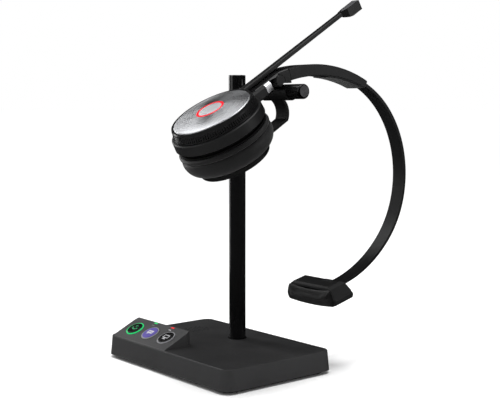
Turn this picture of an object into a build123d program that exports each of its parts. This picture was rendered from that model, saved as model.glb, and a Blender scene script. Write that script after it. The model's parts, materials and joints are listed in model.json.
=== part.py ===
"""Single-ear wireless office headset resting on its charging desk stand.

Millimetres, +Z up. The origin is on the desk, under the middle of the stand's base. +X runs along
the base's long front edge towards the free end of the hanger peg, and +Y runs to the back.
"""

import os
from math import atan2, cos, degrees, hypot, radians, sin, tan

from build123d import *

# ---------------------------------------------------------------- fits shared by many pieces
RUN = 0.05  # radial clearance of a shaft that turns or slides in its bore
GAP = 0.30  # clear space between pieces of different bodies

# ---------------------------------------------------------------- base of the stand
BASE_LENGTH = 129.0
BASE_DEPTH = 85.8
BASE_TOP = 14.6
BASE_CORNER = 7.0
BASE_DRAFT = 5.3  # degrees that the side walls lean inwards
SHELL_LOW = 1.8  # the shell's lower edge above the desk
SHELL_WALL = 2.0
SHELL_ROOF = 2.2
EDGE_ROUND = 0.8
MAT_INSET = 4.0
MAT_THICK = 1.4
PLATE_THICK = 1.8
PLATE_GAP = 0.15
BALLAST_THICK = 4.0
BALLAST_LENGTH = 104.0
BALLAST_DEPTH = 62.0
SCREW_INSET = (9.0, 8.0)
POST_R = 3.0
SCREW_R = 1.2
SCREW_HEAD_R = 2.4
SCREW_HEAD = 1.1
SCREW_REACH = 6.5
POLE_SCREW_R = 1.65
POLE_SCREW_HEAD_R = 3.6
POLE_SCREW_REACH = 12.0

# ---------------------------------------------------------------- sloping control panel
PANEL_LEFT = -59.5
PANEL_RIGHT = -0.5
PANEL_BACK = -17.0
PANEL_CREST_Y = -21.0
PANEL_RISE = 9.4
PANEL_CORNER = 8.0
PANEL_ROOT = 0.6  # how far the panel's hollow reaches below the case's roof
PANEL_MIDDLE = 10.7  # from the foot up the slope to the row of keys
BUTTON_X = (-47.6, -29.75, -11.9)
BUTTON_R = 5.5
BUTTON_RING = 0.7
BUTTON_PROUD = 0.9
RING_PROUD = 0.55
BUTTON_DEPTH = 1.8
BUTTON_TRAVEL = 0.7
LED_X = (-36.5, -17.6)
LED_SIZE = (3.4, 1.0)
LED_UP_SLOPE = 20.9

# ---------------------------------------------------------------- loudspeaker under the base's top
SPEAKER_AT = (-38.5, 12.7)
GRILLE_R = 8.6
SLOT_SIZE = (2.0, 0.9)
SLOT_PITCH = (3.2, 2.1)

# ---------------------------------------------------------------- rear sockets and main board
SOCKET_X = (22.0, 40.0)
SOCKET_SIZE = (8.9, 7.3, 3.2)
SOCKET_WALL = 0.3
SOCKET_SINK = 0.2  # how far the sockets' mouths lie inside the case's top edge
SOCKET_GAP = 0.2
BOARD_LOW = 7.6
BOARD_THICK = 1.4

# ---------------------------------------------------------------- pole, peg and charging bracket
POLE_Y = 17.4
POLE_R = 5.4
POLE_TOP = 186.1
PEG_Z = 174.9
PEG_R = 4.55
PEG_END = 62.4
PEG_CAP = 1.6
SPIGOT_R = 3.0
SADDLE_X = (27.7, 52.5)
SADDLE_WALL = 0.75
SADDLE_OPEN = 75.0  # half of the angle left open at the top, degrees
BRACKET_X = 41.6
BRACKET_HALF = 5.3
BRACKET_THICK = 1.6
BRACKET_CENTRE = (9.3, 161.8)
BRACKET_R = 10.5
BRACKET_TURN = (34.0, 115.0)
CRADLE_R = 22.5
CRADLE_THICK = 3.0
CRADLE_BOSS_R = 9.5
CRADLE_BOSS = 1.8
CONTACT_R = 0.7
CONTACT_SPREAD = 4.0

# ---------------------------------------------------------------- ear cup, along its own axis
HEADSET_X = 41.0
CUP_AT = (-35.05, 162.98)
CUP_TILT = 31.5  # degrees between the cup's axis and straight up
CAP_R = 24.5
CAP_CROWN = 2.0
CAP_EDGE = 1.2
LIGHT_R = 8.85
PINHOLE_R = 0.4
PINHOLES = ((-1.4, -17.5), (-1.6, 14.3), (-2.1, 18.7), (0.3, 18.7))  # on the cap, from its middle
KEY_R = 7.4
RING_R = 27.1
RING_LOW = -6.0
RING_TOP = -0.1
SPIGOT_OUT = 23.2
RIB_COUNT = 110
RIB_DEPTH = 1.6
HOUSING_TOP_R = 28.6
HOUSING_LIP = 0.7
HOUSING_LOW_R = 28.9
HOUSING_LOW = -12.9
NECK_R = 26.2
FLANGE_R = 27.8
CUSHION_TOP = -16.3
CUSHION_LOW = -31.5
CUSHION_R = 29.3
CUSHION_FOOT_R = 23.2
CUSHION_HOLE_R = 12.5
DRIVER_R = 15.0

# ---------------------------------------------------------------- microphone boom
BOOM_TOP = -0.5
BOOM_THICK = 2.8
BOOM_ROOT_W = 4.7
BOOM_TIP_W = 3.6
BOOM_END = 121.0
MIC_END = 138.5
MIC_W = 6.0
MIC_DEEP = 6.4
MIC_FLARE = 7.7

# ---------------------------------------------------------------- arm between ear cup and band
ARM_AXIS = -8.0  # height of the swivel axis on the cup's axis
BLOCK_END = 36.8
METAL_LENGTH = 4.7
ARM_HALF = 8.3
ARM_HIGH = (-11.7, -4.3)
ARM_BEVEL = 1.4
SWIVEL_R = 2.0
SWIVEL_CLEAR = 1.4
LINK_HALF = 1.8
COVER_THICK = 0.55
COVER_INSET = 0.9
COVER_START = 1.0
COVER_BEND = 2.6
COVER_SEAM = 0.25
SKIN_GAP = 0.02
BARREL_AT = (12.0, 181.5)
BARREL_R = 3.6
PEG_RELIEF = 1.35

# ---------------------------------------------------------------- headband
BAND_CENTRE = (44.0, 91.5)
BAND_R = 100.8
BAND_IN_SHIFT = (3.0, -7.3)
BAND_IN_R = 101.0
BAND_HALF = 8.0
BAND_ROOT = -14.5  # degrees from straight up, towards +Y
BAND_TIP = 25.1
RAIL_R = 97.2
RAIL_THICK = 2.6
RAIL_HALF = 5.0
RAIL_ROOT = -21.5
RAIL_TIP = 13.5
PAD_ANGLES = (3.0, 21.2)
PAD_THICK = 0.8
PAD_HALF = 7.2
STRAP_DROP = 0.6
STRAP_THICK = 2.0
STRAP_HALF = 5.0
STRAP_TUCK = 4.0
STRAP_BENDS = ((99.2, 5.4), (66.5, 66.2), (64.3, 35.3), (84.1, 35.4))
STRAP_TAIL = 3.2

# ---------------------------------------------------------------- temple pad
TEMPLE_AT = (43.6, 40.0)
TEMPLE_TILT = 15.0
TEMPLE_DEPTH = 19.0
TEMPLE_HALF = 22.0
TEMPLE_HIGH = 12.0
TEMPLE_FRONT = 3.0
TEMPLE_GROOVE = 1.6
TEMPLE_BUMP_X = (3.4, 11.0)
HINGE_PIN_R = 0.9
HINGE_EYE_R = 2.1
HINGE_EYE_HALF = 4.0
LUG_THICK = 2.0


# ================================================================ frames
def frame(x, y, z, tilt):
    """Frame at a point, turned about X by tilt degrees."""
    return Pos(x, y, z) * Rot(tilt, 0, 0)


CUP = frame(HEADSET_X, *CUP_AT, CUP_TILT)
TEMPLE = frame(HEADSET_X, *TEMPLE_AT, TEMPLE_TILT)
WALL_LEAN = (BASE_TOP - SHELL_LOW) * tan(radians(BASE_DRAFT))  # how far the walls lean in
FRONT_EDGE = WALL_LEAN - BASE_DEPTH / 2  # Y of the top's front edge
REAR_EDGE = BASE_DEPTH / 2 - WALL_LEAN
PANEL_FOOT = FRONT_EDGE + EDGE_ROUND
PANEL_SLOPE = degrees(atan2(PANEL_RISE, PANEL_CREST_Y - PANEL_FOOT))
BALLAST_LOW = MAT_THICK + PLATE_THICK
BALLAST_TOP = BALLAST_LOW + BALLAST_THICK


def side(sketch, half, x=HEADSET_X):
    """Sketch drawn in (Y, Z), thickened to both sides of the plane at x."""
    plane = Plane(origin=(x, 0, 0), x_dir=(0, 1, 0), z_dir=(1, 0, 0))
    return plane.location * extrude(sketch, half, both=True)


def panel(x, up_slope):
    """Frame on the sloping panel, with its Z straight out of the surface."""
    rise = radians(PANEL_SLOPE)
    return frame(x, PANEL_FOOT + up_slope * cos(rise), BASE_TOP + up_slope * sin(rise), PANEL_SLOPE)


def on_cup(along, out):
    """Point in (Y, Z) from the cup's middle: along its arm, and out along its axis."""
    tilt = radians(CUP_TILT)
    return (
        CUP_AT[0] + along * cos(tilt) - out * sin(tilt),
        CUP_AT[1] + along * sin(tilt) + out * cos(tilt),
    )


# ================================================================ plain shapes
def disc(radius, low, high, at=(0, 0)):
    """Upright cylinder between two heights."""
    body = Cylinder(radius, high - low, align=(Align.CENTER, Align.CENTER, Align.MIN))
    return Pos(at[0], at[1], low) * body


def tube(outer, inner, low, high, at=(0, 0)):
    """Upright pipe between two heights."""
    return disc(outer, low, high, at) - disc(inner, low, high, at)


def rod(radius, start, end, y, z):
    """Cylinder along X."""
    body = Cylinder(radius, end - start, align=(Align.CENTER, Align.CENTER, Align.MIN))
    return Pos(start, y, z) * Rot(0, 90, 0) * body


def block(low, high):
    """Box between two corners."""
    size = [b - a for a, b in zip(low, high)]
    return Pos(*low) * Box(*size, align=(Align.MIN, Align.MIN, Align.MIN))


def slab(length, depth, corner, low, high, taper=0.0):
    """Plate with round corners, whose walls lean in by taper degrees."""
    plan = Pos(0, 0, low) * RectangleRounded(length, depth, corner)
    return extrude(plan, high - low, taper=taper)


def outline(points):
    """Flat face inside a closed row of points."""
    return make_face(Polyline(*points, close=True))


def turned(points):
    """Solid of revolution about Z from (radius, height) points."""
    return revolve(make_face(Plane.XZ * Polyline(*points, close=True)), Axis.Z)


def on_arc(centre, radius, angle):
    """Point on a circle, with the angle in degrees from straight up towards +Y."""
    return (centre[0] + radius * sin(radians(angle)), centre[1] + radius * cos(radians(angle)))


def curve(centre, radius, start, end):
    """Arc of a circle between two angles."""
    angles = (start, (start + end) / 2, end)
    return ThreePointArc(*[on_arc(centre, radius, a) for a in angles])


def sector(centre, inner, outer, start, end):
    """Face between two radii and two angles."""
    far = curve(centre, outer, start, end)
    near = curve(centre, inner, start, end)
    return make_face([far, near, Line(far @ 0, near @ 0), Line(far @ 1, near @ 1)])


# ================================================================ base
def panel_wedge(shrink, low):
    """Wedge of the control panel down to a height, with its faces pulled in by shrink."""
    rise = tan(radians(PANEL_SLOPE))
    crest = BASE_TOP + PANEL_RISE - shrink * (1 + rise)
    foot = PANEL_FOOT + shrink * (1 + 1 / rise) - (BASE_TOP - low) / rise
    back = PANEL_BACK - shrink
    points = [(foot, low), (PANEL_CREST_Y - shrink, crest), (back, BASE_TOP)]
    if low < BASE_TOP:
        points.append((back, low))
    middle = (PANEL_LEFT + PANEL_RIGHT) / 2
    width = PANEL_RIGHT - PANEL_LEFT - 2 * shrink
    plan = RectangleRounded(width, BASE_DEPTH, PANEL_CORNER - shrink / 2)
    column = extrude(Pos(middle, back - BASE_DEPTH / 2, low) * plan, crest - low + 1)
    inset = 2 * (WALL_LEAN + EDGE_ROUND)
    column &= slab(BASE_LENGTH - inset, BASE_DEPTH - inset, BASE_CORNER, low, crest + 1)
    return side(outline(points), width / 2, middle) & column


def panel_hollow():
    """Space for the control board, from inside the case up into the panel."""
    return panel_wedge(SHELL_WALL, BASE_TOP - SHELL_ROOF - PANEL_ROOT)


def key_holes():
    """Round holes that the key rings fit, square to the panel."""
    holes = Part()
    for x in BUTTON_X:
        holes += panel(x, PANEL_MIDDLE) * disc(BUTTON_R + BUTTON_RING, -4, 3)
    return holes


def corner_points():
    """Places of the four case screws."""
    x = BASE_LENGTH / 2 - SCREW_INSET[0]
    y = BASE_DEPTH / 2 - SCREW_INSET[1]
    return [(sx * x, sy * y) for sx in (-1, 1) for sy in (-1, 1)]


def grille_slots():
    """Staggered rows of slots through the base's top, inside a round patch."""
    slots = []
    rows = int(GRILLE_R / SLOT_PITCH[1])
    columns = int(GRILLE_R / SLOT_PITCH[0])
    for row in range(-rows, rows + 1):
        for column in range(-columns - 1, columns + 2):
            x = (column + 0.5 * (row % 2)) * SLOT_PITCH[0]
            y = row * SLOT_PITCH[1]
            if (abs(x) + SLOT_SIZE[0] / 2) ** 2 + y * y < GRILLE_R**2:
                slot = SlotOverall(SLOT_SIZE[0], SLOT_SIZE[1])
                at = (SPEAKER_AT[0] + x, SPEAKER_AT[1] + y, BASE_TOP - SHELL_ROOF - 1)
                slots.append(Pos(*at) * slot)
    return extrude(Sketch() + slots, SHELL_ROOF + 2)


def socket_box(x, grow):
    """Outside of one rear socket, larger by grow."""
    width, depth, height = SOCKET_SIZE
    back = REAR_EDGE - SOCKET_SINK
    low = BOARD_LOW + BOARD_THICK
    return block(
        (x - width / 2 - grow, back - depth, low - grow),
        (x + width / 2 + grow, back + grow * 20, low + height + grow),
    )


def base_top_shell():
    """Case of the base, open below, with the holes for the pole, sockets, grille and panel."""
    length = BASE_LENGTH - 2 * SHELL_WALL
    depth = BASE_DEPTH - 2 * SHELL_WALL
    ceiling = BASE_TOP - SHELL_ROOF
    body = slab(BASE_LENGTH, BASE_DEPTH, BASE_CORNER, SHELL_LOW, BASE_TOP, BASE_DRAFT)
    body = fillet(body.edges().group_by(Axis.Z)[-1], EDGE_ROUND)
    body -= slab(length, depth, BASE_CORNER - SHELL_WALL, SHELL_LOW, ceiling, BASE_DRAFT)
    body -= panel_hollow() + key_holes()
    for at in corner_points():
        body += disc(POST_R, BALLAST_LOW, ceiling + 0.2, at)
        body -= disc(SCREW_R + RUN, BALLAST_LOW, MAT_THICK + SCREW_HEAD + SCREW_REACH + 1, at)
    for x in SOCKET_X:
        body -= socket_box(x, SOCKET_GAP)
    body -= disc(POLE_R + RUN, 0, BASE_TOP + 1, (0, POLE_Y))
    return body - grille_slots()


def control_panel():
    """Hollow wedge that stands on the case and carries the keys and lights."""
    body = panel_wedge(0, BASE_TOP) - panel_hollow()
    for x in LED_X:
        body -= panel(x, LED_UP_SLOPE) * led_bar(3.0)
    return body - key_holes()


def led_bar(reach):
    """Light pipe bar, flush with the panel's surface."""
    width, depth = LED_SIZE
    return block((-width / 2, -depth / 2, -reach), (width / 2, depth / 2, 0.05))


def base_bottom_plate():
    lean = (BALLAST_LOW - SHELL_LOW) * tan(radians(BASE_DRAFT))
    cut = 2 * (SHELL_WALL + lean + PLATE_GAP)
    low = MAT_THICK
    high = low + PLATE_THICK
    body = slab(BASE_LENGTH - cut, BASE_DEPTH - cut, BASE_CORNER - SHELL_WALL, low, high)
    for at in corner_points():
        body -= disc(SCREW_HEAD_R + RUN, low, low + SCREW_HEAD, at)
        body -= disc(SCREW_R + RUN, low, high, at)
    return body - disc(POLE_SCREW_HEAD_R + RUN, low, high, (0, POLE_Y))


def base_mat():
    return slab(BASE_LENGTH - 2 * MAT_INSET, BASE_DEPTH - 2 * MAT_INSET, BASE_CORNER - 2, 0, MAT_THICK)


def base_screws():
    low = MAT_THICK
    screws = Part()
    for at in corner_points():
        screws += disc(SCREW_HEAD_R, low, low + SCREW_HEAD, at)
        screws += disc(SCREW_R, low, low + SCREW_HEAD + SCREW_REACH, at)
    return screws


def ballast_plate():
    body = slab(BALLAST_LENGTH, BALLAST_DEPTH, 3, BALLAST_LOW, BALLAST_TOP)
    return body - disc(POLE_SCREW_R + RUN, BALLAST_LOW, BALLAST_TOP, (0, POLE_Y))


def pole():
    body = disc(POLE_R, BALLAST_TOP, POLE_TOP, (0, POLE_Y))
    body = chamfer(body.edges().group_by(Axis.Z)[-1], 0.3)
    body -= disc(POLE_SCREW_R + RUN, BALLAST_TOP, BALLAST_TOP + POLE_SCREW_REACH + 1, (0, POLE_Y))
    return body - rod(SPIGOT_R + RUN, -POLE_R / 2, POLE_R + 1, POLE_Y, PEG_Z)


def pole_collar():
    """Thin trim ring where the pole enters the base."""
    return tube(POLE_R + 0.7, POLE_R, BASE_TOP, BASE_TOP + 0.5, (0, POLE_Y))


def pole_screw():
    head = disc(POLE_SCREW_HEAD_R, MAT_THICK, BALLAST_LOW, (0, POLE_Y))
    return head + disc(POLE_SCREW_R, MAT_THICK, BALLAST_TOP + POLE_SCREW_REACH, (0, POLE_Y))


def main_board():
    back = REAR_EDGE - SOCKET_SINK
    left = SOCKET_X[0] - 9
    right = SOCKET_X[1] + 9
    board = block((left, -8, BOARD_LOW), (right, back - 3, BOARD_LOW + BOARD_THICK))
    chip_low = BOARD_LOW + BOARD_THICK
    for x, y in ((left + 6, 0), (right - 12, 4), (left + 12, 16)):
        board += block((x, y, chip_low), (x + 7, y + 7, chip_low + 1.1))
    return board


def usb_sockets():
    width, depth, height = SOCKET_SIZE
    back = REAR_EDGE - SOCKET_SINK
    low = BOARD_LOW + BOARD_THICK
    sockets = Part()
    for x in SOCKET_X:
        hollow = block(
            (x - width / 2 + SOCKET_WALL, back - depth + 1, low + SOCKET_WALL),
            (x + width / 2 - SOCKET_WALL, back + 1, low + height - SOCKET_WALL),
        )
        tongue = block(
            (x - width / 2 + 1.2, back - depth + 0.5, low + height / 2 - 0.35),
            (x + width / 2 - 1.2, back - 1.2, low + height / 2 + 0.35),
        )
        sockets += (socket_box(x, 0) - hollow) + tongue
    return sockets


def desk_speaker():
    ceiling = BASE_TOP - SHELL_ROOF
    body = disc(GRILLE_R + 1.4, ceiling - 1.2, ceiling, SPEAKER_AT)
    body -= disc(GRILLE_R, ceiling - 0.8, ceiling, SPEAKER_AT)
    return body + disc(GRILLE_R - 2.5, ceiling - 4.4, ceiling - 1.2, SPEAKER_AT)


def control_board():
    """Board under the buttons, with one press switch for each."""
    board = Part()
    middle = panel((PANEL_LEFT + PANEL_RIGHT) / 2, PANEL_MIDDLE)
    board += middle * block((-22, -6, -6.4), (22, 6, -5.0))
    for x in BUTTON_X:
        board += panel(x, PANEL_MIDDLE) * block((-2.2, -2.2, -5.0), (2.2, 2.2, -4.1))
    return board


def button_cap(x):
    """Round key with a soft edge and a plunger that reaches its switch."""
    cap = disc(BUTTON_R, -BUTTON_DEPTH, BUTTON_PROUD)
    cap = fillet(cap.edges().group_by(Axis.Z)[-1], 0.45)
    plunger = disc(1.4, -4.1 + BUTTON_TRAVEL + 0.1, -BUTTON_DEPTH)
    return panel(x, PANEL_MIDDLE) * (cap + plunger)


def button_ring(x):
    """Fixed light ring that the key slides in."""
    ring = tube(BUTTON_R + BUTTON_RING, BUTTON_R + RUN, -BUTTON_DEPTH - 0.6, RING_PROUD)
    return panel(x, PANEL_MIDDLE) * ring


# ================================================================ peg and charging bracket
def peg():
    body = rod(PEG_R, 0, PEG_END, POLE_Y, PEG_Z) - disc(POLE_R, PEG_Z - 9, PEG_Z + 9, (0, POLE_Y))
    body += rod(SPIGOT_R, -POLE_R / 2 + 0.3, POLE_R + 2, POLE_Y, PEG_Z)
    return body


def peg_end_cap():
    cap = rod(PEG_R, PEG_END, PEG_END + PEG_CAP, POLE_Y, PEG_Z)
    return fillet(cap.edges().group_by(Axis.X)[-1], 1.1)


def saddle():
    """Collar round the peg, open along the top."""
    face = sector(
        (POLE_Y, PEG_Z), PEG_R, PEG_R + SADDLE_WALL, SADDLE_OPEN, 360 - SADDLE_OPEN
    )
    middle = sum(SADDLE_X) / 2
    return side(face, (SADDLE_X[1] - SADDLE_X[0]) / 2, middle)


def charging_bracket():
    """Bent strip from under the saddle, back below the ear cup."""
    half = BRACKET_THICK / 2
    bend = sector(BRACKET_CENTRE, BRACKET_R - half, BRACKET_R + half, *BRACKET_TURN)
    strip = side(bend, BRACKET_HALF, BRACKET_X)
    end_y, end_z = on_arc(BRACKET_CENTRE, BRACKET_R, BRACKET_TURN[1])
    run = (end_y - CUP_AT[0]) * cos(radians(CUP_TILT)) + (end_z - CUP_AT[1]) * sin(radians(CUP_TILT))
    shift = BRACKET_X - HEADSET_X
    low = CUSHION_LOW - GAP - BRACKET_THICK
    reach = (shift + BRACKET_HALF, run + 0.6, low + BRACKET_THICK)
    foot = block((shift - BRACKET_HALF, CRADLE_R / 2, low), reach)
    strip += CUP * (foot - disc(CRADLE_R, low - 1, low + BRACKET_THICK + 1))
    return strip - rod(PEG_R + SADDLE_WALL, SADDLE_X[0], SADDLE_X[1], POLE_Y, PEG_Z)


def cradle_disc():
    """Round charging puck that the cushion rests on, with a low centring boss."""
    high = CUSHION_LOW - GAP
    body = disc(CRADLE_R, high - CRADLE_THICK, high)
    body = fillet(body.edges().group_by(Axis.Z)[0], 1.2)
    body += disc(CRADLE_BOSS_R, high, high + CRADLE_BOSS)
    body -= disc(CRADLE_BOSS_R - 3, high - CRADLE_THICK + 0.8, high)
    for x in (-CONTACT_SPREAD, CONTACT_SPREAD):
        body -= disc(CONTACT_R, high - 1, high + CRADLE_BOSS + 1, (x, 0))
    return CUP * body


def cradle_magnet():
    high = CUSHION_LOW - GAP
    return CUP * disc(CRADLE_BOSS_R - 3.2, high - CRADLE_THICK + 0.9, high - 0.2)


def contact_pins():
    high = CUSHION_LOW - GAP
    pins = Part()
    for x in (-CONTACT_SPREAD, CONTACT_SPREAD):
        pins += disc(CONTACT_R, high, high + CRADLE_BOSS + 0.5, (x, 0))
    return CUP * pins


# ================================================================ ear cup
def cap_height(radius):
    """Height of the domed cap at a distance from its middle."""
    return CAP_CROWN * (1 - (radius / CAP_R) ** 2)


def cup_cap():
    """Domed metal disc with a round hole for the light ring and the key."""
    steps = [LIGHT_R + (CAP_R - 0.5 - LIGHT_R) * k / 8 for k in range(9)]
    top = [(r, cap_height(r)) for r in steps]
    edge = [(CAP_R, -0.35), (CAP_R, -CAP_EDGE), (LIGHT_R, -CAP_EDGE)]
    body = turned(top + edge)
    for at in PINHOLES:
        body -= disc(PINHOLE_R, -CAP_EDGE - 1, CAP_CROWN + 1, at)
    return CUP * body


def light_ring():
    top = cap_height(LIGHT_R) + 0.1
    inner = KEY_R + RUN
    return CUP * turned([(inner, -CAP_EDGE), (LIGHT_R, -CAP_EDGE), (LIGHT_R, top - 0.15),
                         (LIGHT_R - 0.3, top), (inner, top)])


def cup_key():
    """Round key in the middle of the cap."""
    top = cap_height(KEY_R)
    key = turned([(0, -CAP_EDGE + 0.2), (KEY_R, -CAP_EDGE + 0.2), (KEY_R, top - 0.2),
                  (KEY_R - 0.3, top), (KEY_R * 0.6, top + 0.12), (0, top + 0.2)])
    return CUP * key


def cup_housing():
    inner = SPIGOT_OUT - 2.2
    return CUP * turned([
        (inner, -CAP_EDGE),
        (SPIGOT_OUT, -CAP_EDGE),
        (SPIGOT_OUT, RING_LOW - GAP),
        (HOUSING_TOP_R - HOUSING_LIP, RING_LOW - GAP),
        (HOUSING_TOP_R, RING_LOW - GAP - 0.5),
        (HOUSING_LOW_R, HOUSING_LOW + 0.5),
        (HOUSING_LOW_R - 0.4, HOUSING_LOW),
        (NECK_R, HOUSING_LOW),
        (NECK_R, HOUSING_LOW + 1.2),
        (inner + 2.5, RING_LOW - 2.4),
        (inner, RING_LOW - 2.4),
    ])


def ribbed(radius, low, high):
    """Short column whose rim is cut into fine ribs."""
    points = []
    for k in range(RIB_COUNT):
        for share, depth in ((0.0, 0.0), (0.5, 0.0), (0.56, RIB_DEPTH), (0.94, RIB_DEPTH)):
            angle = 360 * (k + share) / RIB_COUNT
            points.append(on_arc((0, 0), radius - depth, angle))
    return extrude(Pos(0, 0, low) * outline(points), high - low)


def ring_blank():
    """Ring that turns the boom, before its grip is cut."""
    inner = SPIGOT_OUT + RUN
    lip = CAP_R + GAP
    return turned([
        (inner, RING_LOW),
        (RING_R, RING_LOW),
        (RING_R, RING_LOW + 0.7),
        (RING_R - 0.9, RING_TOP - 2.0),
        (RING_R - 0.9, RING_TOP - 1.2),
        (RING_R - 1.3, RING_TOP),
        (lip, RING_TOP),
        (lip, -CAP_EDGE - 0.5),
        (inner, -CAP_EDGE - 0.5),
    ])


def boom_ring():
    """The boom's ring: a plain upper band over a ribbed grip."""
    grip_low = RING_LOW + 0.6
    grip_high = RING_TOP - 2.3
    keep = disc(RING_R + 1, RING_LOW - 1, grip_low)
    keep += disc(RING_R + 1, grip_high, RING_TOP + 1)
    keep += ribbed(RING_R + 0.05, grip_low, grip_high)
    return CUP * (ring_blank() & keep)


def boom_arm():
    """Flat bar from the ring to the microphone, narrower towards its tip."""
    low = BOOM_TOP - BOOM_THICK
    start = RING_R - 2.4
    plan = outline([
        (-BOOM_ROOT_W / 2, start), (BOOM_ROOT_W / 2, start),
        (BOOM_TIP_W / 2, BOOM_END), (-BOOM_TIP_W / 2, BOOM_END),
    ])
    bar = extrude(Pos(0, 0, low) * plan, BOOM_THICK)
    bar = chamfer(bar.edges().filter_by(lambda e: e.length > 50), 0.45)
    return CUP * (bar - ring_blank() - disc(RING_R - 0.95, low - 1, BOOM_TOP + 1))


def mic_head():
    """Housing that deepens behind the bar and ends square."""
    low = BOOM_TOP - BOOM_THICK
    profile = outline([
        (BOOM_END, BOOM_TOP), (MIC_END - 0.5, BOOM_TOP), (MIC_END, BOOM_TOP - 0.5),
        (MIC_END, BOOM_TOP - MIC_DEEP + 0.5), (MIC_END - 0.5, BOOM_TOP - MIC_DEEP),
        (BOOM_END + MIC_FLARE, BOOM_TOP - MIC_DEEP),
        (BOOM_END + MIC_FLARE * 0.6, BOOM_TOP - MIC_DEEP * 0.88),
        (BOOM_END + MIC_FLARE * 0.25, low - 0.8), (BOOM_END, low),
    ])
    plane = Plane(origin=(0, 0, 0), x_dir=(0, 1, 0), z_dir=(1, 0, 0))
    body = plane.location * extrude(profile, MIC_W, both=True)
    plan = outline([
        (-BOOM_TIP_W / 2, BOOM_END), (BOOM_TIP_W / 2, BOOM_END),
        (MIC_W / 2, BOOM_END + 5), (MIC_W / 2, MIC_END - 0.5), (MIC_W / 2 - 0.5, MIC_END),
        (-MIC_W / 2 + 0.5, MIC_END), (-MIC_W / 2, MIC_END - 0.5), (-MIC_W / 2, BOOM_END + 5),
    ])
    body &= extrude(Pos(0, 0, -20) * plan, 40)
    body -= mic_grille_blank(0.0)
    body -= disc(2.05, BOOM_TOP - 4.3, BOOM_TOP - 0.8, (0, MIC_END - 8))
    return CUP * body


def mic_grille_blank(trim):
    """Leaf-shaped plate let into the head's outer face."""
    half = MIC_W / 2 - 0.5 - trim
    plan = outline([
        (0, BOOM_END + 1.5 + trim), (half, BOOM_END + 6), (half, MIC_END - 2 - trim),
        (half - 0.8, MIC_END - 1 - trim), (-half + 0.8, MIC_END - 1 - trim),
        (-half, MIC_END - 2 - trim), (-half, BOOM_END + 6),
    ])
    return extrude(Pos(0, 0, BOOM_TOP - 0.8) * plan, 0.8)


def mic_grille():
    plate = mic_grille_blank(0.0)
    for row in range(9):
        for x in (-1.4, 0.0, 1.4):
            plate -= disc(0.32, BOOM_TOP - 2, BOOM_TOP + 1, (x, BOOM_END + 6.2 + row * 1.05))
    return CUP * plate


def mic_capsule():
    return CUP * disc(2.0, BOOM_TOP - 4.2, BOOM_TOP - 1.1, (0, MIC_END - 8))


def cup_board():
    board = disc(SPIGOT_OUT - 2.4, -4.0, -2.8)
    board += block((-9, -13, -4.9), (-2, -6, -4.0)) + block((3, 6, -4.9), (9, 12, -4.0))
    board += block((-2, -2, -2.8), (2, 2, -2.0))
    return CUP * board


def battery():
    return CUP * disc(12.0, -9.6, -5.1)


def baffle_plate():
    """Speaker carrier under the housing, with the neck and the cushion's flange."""
    bore = DRIVER_R + 0.1
    return CUP * turned([
        (bore, HOUSING_LOW + 1.1), (NECK_R - 0.1, HOUSING_LOW + 1.1), (NECK_R - 0.1, CUSHION_TOP + 1.3),
        (FLANGE_R - 0.3, CUSHION_TOP + 1.3), (FLANGE_R, CUSHION_TOP + 1.0), (FLANGE_R, CUSHION_TOP + 0.3),
        (FLANGE_R - 0.3, CUSHION_TOP), (bore, CUSHION_TOP),
    ])


def speaker_driver():
    frame_low = CUSHION_TOP + 0.4
    cup = disc(DRIVER_R, frame_low, frame_low + 2.0)
    cup -= disc(DRIVER_R - 1.6, frame_low, frame_low + 0.8)
    return CUP * (cup + disc(DRIVER_R - 5, frame_low + 2.0, frame_low + 5.2))


def driver_screen():
    """Cloth disc over the speaker, at the bottom of the cushion's hole."""
    return CUP * disc(CUSHION_HOLE_R - 0.2, CUSHION_TOP - 0.7, CUSHION_TOP)


def ear_cushion():
    """Soft ring: a bead over a rounded, tapering pad."""
    return CUP * turned([
        (CUSHION_HOLE_R, CUSHION_TOP), (CUSHION_R - 0.9, CUSHION_TOP), (CUSHION_R, CUSHION_TOP - 0.9),
        (CUSHION_R, CUSHION_TOP - 2.2), (CUSHION_R - 0.2, CUSHION_TOP - 2.8),
        (CUSHION_R + 0.1, CUSHION_TOP - 4.5), (CUSHION_R - 0.3, CUSHION_TOP - 7.5),
        (CUSHION_R - 1.4, CUSHION_TOP - 10.8), (CUSHION_R - 3.2, CUSHION_TOP - 13.6),
        (CUSHION_FOOT_R, CUSHION_LOW), (CUSHION_HOLE_R + 2.5, CUSHION_LOW),
        (CUSHION_HOLE_R, CUSHION_LOW + 3.0),
    ])


def cup_screws():
    """Three case screws that hold the baffle to the housing."""
    screws = Part()
    for angle in (30, 150, 270):
        at = on_arc((0, 0), (SPIGOT_OUT + DRIVER_R) / 2 + 0.6, angle)
        screws += disc(0.9, HOUSING_LOW + 1.1, RING_LOW - 4.2, at)
    return CUP * screws


def yoke_block():
    """Block on the cup's rim that carries the swivel."""
    low, high = ARM_HIGH
    body = block((-ARM_HALF, 20, low), (ARM_HALF, BLOCK_END, high))
    body = chamfer(body.edges().filter_by(Axis.Y), ARM_BEVEL)
    body -= turned([(0, RING_LOW - GAP), (HOUSING_TOP_R - HOUSING_LIP, RING_LOW - GAP),
                    (HOUSING_TOP_R, RING_LOW - GAP - 0.5), (HOUSING_LOW_R, HOUSING_LOW + 0.5),
                    (0, HOUSING_LOW + 0.5)])
    body -= disc(RING_R + 0.5, RING_LOW - GAP - 1.0, 5)
    body -= Pos(0, 0, ARM_AXIS) * Rot(-90, 0, 0) * disc(SWIVEL_R + RUN, 0, 60)
    return CUP * body


def swivel_pin():
    """Short shaft of the arm, running in the block."""
    start = max(HOUSING_TOP_R, HOUSING_LOW_R) + SWIVEL_CLEAR
    return CUP * Pos(0, 0, ARM_AXIS) * Rot(-90, 0, 0) * disc(SWIVEL_R, start, BLOCK_END + GAP)


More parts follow.
